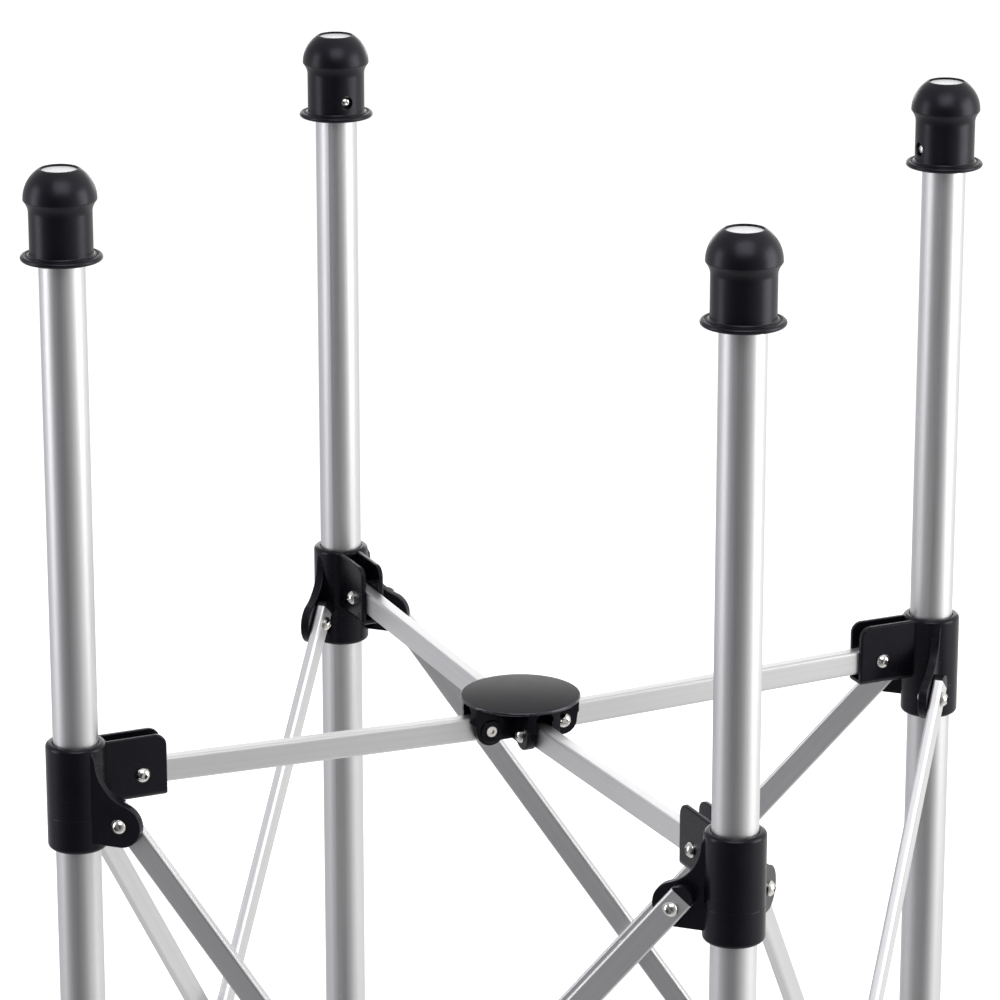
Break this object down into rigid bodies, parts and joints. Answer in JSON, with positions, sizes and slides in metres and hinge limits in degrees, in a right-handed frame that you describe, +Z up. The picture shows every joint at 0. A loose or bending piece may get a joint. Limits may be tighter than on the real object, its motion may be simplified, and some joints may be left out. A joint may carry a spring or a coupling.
{
  "type": "folding stand frame",
  "caption": "Folding square stand frame: round aluminium posts with domed caps, sliding collars, centre hub on radial bars and crossed side struts.",
  "frame": {"origin": "centre of the square of posts, on the floor", "axes": "+Z up along the posts, +X to the right along the front side, +Y from front to back"},
  "size_m": [0.507, 0.507, 0.9577],
  "materials": {
    "anodised_aluminium": "satin silver anodised, fine extrusion lines",
    "black_plastic": "satin black moulded glass-filled nylon",
    "stainless_steel": "polished button heads",
    "white_badge": "plain white disc"
  },
  "bodies": {
    "post_assembly_front_left": {"post_front_left": "anodised_aluminium", "cap_front_left": "black_plastic", "cap_badge_front_left": "white_badge", "foot_front_left": "black_plastic", "post_screws_front_left": "stainless_steel"},
    "post_assembly_front_right": {"post_front_right": "anodised_aluminium", "cap_front_right": "black_plastic", "cap_badge_front_right": "white_badge", "foot_front_right": "black_plastic", "post_screws_front_right": "stainless_steel"},
    "post_assembly_back_right": {"post_back_right": "anodised_aluminium", "cap_back_right": "black_plastic", "cap_badge_back_right": "white_badge", "foot_back_right": "black_plastic", "post_screws_back_right": "stainless_steel"},
    "post_assembly_back_left": {"post_back_left": "anodised_aluminium", "cap_back_left": "black_plastic", "cap_badge_back_left": "white_badge", "foot_back_left": "black_plastic", "post_screws_back_left": "stainless_steel"},
    "sliding_collar_front_left": {"collar_front_left": "black_plastic", "collar_pins_front_left": "stainless_steel"},
    "bar_front_left": {"radial_bar_front_left": "anodised_aluminium"},
    "sliding_collar_front_right": {"collar_front_right": "black_plastic", "collar_pins_front_right": "stainless_steel"},
    "bar_front_right": {"radial_bar_front_right": "anodised_aluminium"},
    "sliding_collar_back_right": {"collar_back_right": "black_plastic", "collar_pins_back_right": "stainless_steel"},
    "bar_back_right": {"radial_bar_back_right": "anodised_aluminium"},
    "sliding_collar_back_left": {"collar_back_left": "black_plastic", "collar_pins_back_left": "stainless_steel"},
    "bar_back_left": {"radial_bar_back_left": "anodised_aluminium"},
    "hub": {"hub_body": "black_plastic", "hub_cover": "black_plastic", "hub_pins": "stainless_steel"},
    "side_strut_front_inner": {"strut_front_inner": "anodised_aluminium", "strut_plugs_front_inner": "black_plastic", "strut_pins_front_inner": "stainless_steel"},
    "side_strut_front_outer": {"strut_front_outer": "anodised_aluminium", "strut_plugs_front_outer": "black_plastic", "strut_pins_front_outer": "stainless_steel"},
    "side_strut_right_inner": {"strut_right_inner": "anodised_aluminium", "strut_plugs_right_inner": "black_plastic", "strut_pins_right_inner": "stainless_steel"},
    "side_strut_right_outer": {"strut_right_outer": "anodised_aluminium", "strut_plugs_right_outer": "black_plastic", "strut_pins_right_outer": "stainless_steel"},
    "side_strut_back_inner": {"strut_back_inner": "anodised_aluminium", "strut_plugs_back_inner": "black_plastic", "strut_pins_back_inner": "stainless_steel"},
    "side_strut_back_outer": {"strut_back_outer": "anodised_aluminium", "strut_plugs_back_outer": "black_plastic", "strut_pins_back_outer": "stainless_steel"},
    "side_strut_left_inner": {"strut_left_inner": "anodised_aluminium", "strut_plugs_left_inner": "black_plastic", "strut_pins_left_inner": "stainless_steel"},
    "side_strut_left_outer": {"strut_left_outer": "anodised_aluminium", "strut_plugs_left_outer": "black_plastic", "strut_pins_left_outer": "stainless_steel"}
  },
  "joints": [
    {"name": "fold", "type": "slide", "parent": "post_assembly_front_left", "child": "sliding_collar_front_left", "axis": [0, 0, 1], "range_m": [0, 0.13454]},
    {"name": "bar_hinge_front_left", "type": "hinge", "parent": "sliding_collar_front_left", "child": "bar_front_left", "pos_m": [-0.19659, -0.19659, 0.5455], "axis": [0.7071, -0.7071, 0], "range_deg": [0, 90.62]},
    {"name": "hub_hinge", "type": "hinge", "parent": "bar_front_left", "child": "hub", "pos_m": [-0.01923, -0.01923, 0.5395], "axis": [0.7071, -0.7071, 0], "range_deg": [-90.62, 0]},
    {"name": "bar_hinge_front_right", "type": "hinge", "parent": "hub", "child": "bar_front_right", "pos_m": [0.01923, -0.01923, 0.5395], "axis": [0.7071, 0.7071, 0], "range_deg": [0, 90.62]},
    {"name": "collar_hinge_front_right", "type": "hinge", "parent": "bar_front_right", "child": "sliding_collar_front_right", "pos_m": [0.19659, -0.19659, 0.5455], "axis": [0.7071, 0.7071, 0], "range_deg": [-90.62, 0]},
    {"name": "post_slide_front_right", "type": "slide", "parent": "sliding_collar_front_right", "child": "post_assembly_front_right", "axis": [0, 0, -1], "range_m": [0, 0.13456]},
    {"name": "bar_hinge_back_right", "type": "hinge", "parent": "hub", "child": "bar_back_right", "pos_m": [0.01923, 0.01923, 0.5395], "axis": [-0.7071, 0.7071, 0], "range_deg": [0, 90.62]},
    {"name": "collar_hinge_back_right", "type": "hinge", "parent": "bar_back_right", "child": "sliding_collar_back_right", "pos_m": [0.19659, 0.19659, 0.5455], "axis": [-0.7071, 0.7071, 0], "range_deg": [-90.62, 0]},
    {"name": "post_slide_back_right", "type": "slide", "parent": "sliding_collar_back_right", "child": "post_assembly_back_right", "axis": [0, 0, -1], "range_m": [0, 0.13456]},
    {"name": "bar_hinge_back_left", "type": "hinge", "parent": "hub", "child": "bar_back_left", "pos_m": [-0.01923, 0.01923, 0.5395], "axis": [-0.7071, -0.7071, 0], "range_deg": [0, 90.62]},
    {"name": "collar_hinge_back_left", "type": "hinge", "parent": "bar_back_left", "child": "sliding_collar_back_left", "pos_m": [-0.19659, 0.19659, 0.5455], "axis": [-0.7071, -0.7071, 0], "range_deg": [-90.62, 0]},
    {"name": "post_slide_back_left", "type": "slide", "parent": "sliding_collar_back_left", "child": "post_assembly_back_left", "axis": [0, 0, -1], "range_m": [0, 0.13456]},
    {"name": "strut_hinge_front_inner", "type": "hinge", "parent": "sliding_collar_front_left", "child": "side_strut_front_inner", "pos_m": [-0.1915, -0.227, 0.522], "axis": [0, 1, 0], "range_deg": [0, 35.85]},
    {"name": "strut_hinge_front_outer", "type": "hinge", "parent": "sliding_collar_front_right", "child": "side_strut_front_outer", "pos_m": [0.1915, -0.227, 0.522], "axis": [0, -1, 0], "range_deg": [0, 35.85]},
    {"name": "strut_hinge_right_inner", "type": "hinge", "parent": "sliding_collar_front_right", "child": "side_strut_right_inner", "pos_m": [0.227, -0.1915, 0.522], "axis": [-1, 0, 0], "range_deg": [0, 35.85]},
    {"name": "strut_hinge_right_outer", "type": "hinge", "parent": "sliding_collar_back_right", "child": "side_strut_right_outer", "pos_m": [0.227, 0.1915, 0.522], "axis": [1, 0, 0], "range_deg": [0, 35.85]},
    {"name": "strut_hinge_back_inner", "type": "hinge", "parent": "sliding_collar_back_right", "child": "side_strut_back_inner", "pos_m": [0.1915, 0.227, 0.522], "axis": [0, -1, 0], "range_deg": [0, 35.85]},
    {"name": "strut_hinge_back_outer", "type": "hinge", "parent": "sliding_collar_back_left", "child": "side_strut_back_outer", "pos_m": [-0.1915, 0.227, 0.522], "axis": [0, 1, 0], "range_deg": [0, 35.85]},
    {"name": "strut_hinge_left_inner", "type": "hinge", "parent": "sliding_collar_back_left", "child": "side_strut_left_inner", "pos_m": [-0.227, 0.1915, 0.522], "axis": [1, 0, 0], "range_deg": [0, 35.85]},
    {"name": "strut_hinge_left_outer", "type": "hinge", "parent": "sliding_collar_front_left", "child": "side_strut_left_outer", "pos_m": [-0.227, -0.1915, 0.522], "axis": [-1, 0, 0], "range_deg": [0, 35.85]}
  ],
  "couplings": [
    {"joint": "bar_hinge_front_left", "follows": "fold", "rad_per_m": 11.754},
    {"joint": "hub_hinge", "follows": "fold", "rad_per_m": -11.754},
    {"joint": "bar_hinge_front_right", "follows": "fold", "rad_per_m": 11.754},
    {"joint": "collar_hinge_front_right", "follows": "fold", "rad_per_m": -11.754},
    {"joint": "post_slide_front_right", "follows": "fold", "ratio": 1},
    {"joint": "bar_hinge_back_right", "follows": "fold", "rad_per_m": 11.754},
    {"joint": "collar_hinge_back_right", "follows": "fold", "rad_per_m": -11.754},
    {"joint": "post_slide_back_right", "follows": "fold", "ratio": 1},
    {"joint": "bar_hinge_back_left", "follows": "fold", "rad_per_m": 11.754},
    {"joint": "collar_hinge_back_left", "follows": "fold", "rad_per_m": -11.754},
    {"joint": "post_slide_back_left", "follows": "fold", "ratio": 1},
    {"joint": "strut_hinge_front_inner", "follows": "fold", "rad_per_m": 4.6499},
    {"joint": "strut_hinge_front_outer", "follows": "fold", "rad_per_m": 4.6499},
    {"joint": "strut_hinge_right_inner", "follows": "fold", "rad_per_m": 4.6499},
    {"joint": "strut_hinge_right_outer", "follows": "fold", "rad_per_m": 4.6499},
    {"joint": "strut_hinge_back_inner", "follows": "fold", "rad_per_m": 4.6499},
    {"joint": "strut_hinge_back_outer", "follows": "fold", "rad_per_m": 4.6499},
    {"joint": "strut_hinge_left_inner", "follows": "fold", "rad_per_m": 4.6499},
    {"joint": "strut_hinge_left_outer", "follows": "fold", "rad_per_m": 4.6499}
  ]
}
